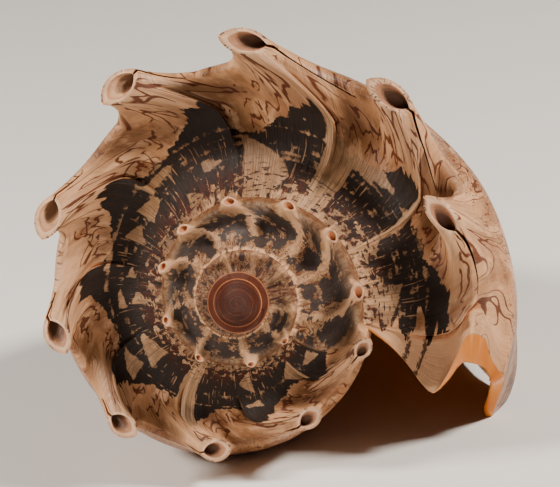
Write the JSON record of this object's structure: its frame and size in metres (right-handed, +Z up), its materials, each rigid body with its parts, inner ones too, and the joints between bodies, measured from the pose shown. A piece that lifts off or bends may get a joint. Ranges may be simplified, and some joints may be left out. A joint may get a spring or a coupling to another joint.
{
  "type": "volute shell",
  "caption": "Heavy spiral volute shell with a low domed tip, a broad sloping shoulder crowned with hollow open spines, a long tapering body and a long aperture.",
  "frame": {"origin": "bottom centre of the bounding box of the shell as it lies on its aperture side", "axes": "+Z up from the surface it rests on; the coiling axis lies close to the Y axis, with the domed apex towards -Y and raised, and the siphonal end towards +Y and down; the lip is on the +X side"},
  "size_m": [0.1214, 0.1734, 0.112],
  "materials": {
    "shell": "satin"
  },
  "bodies": {
    "root": {"shell": "shell"}
  },
  "joints": []
}
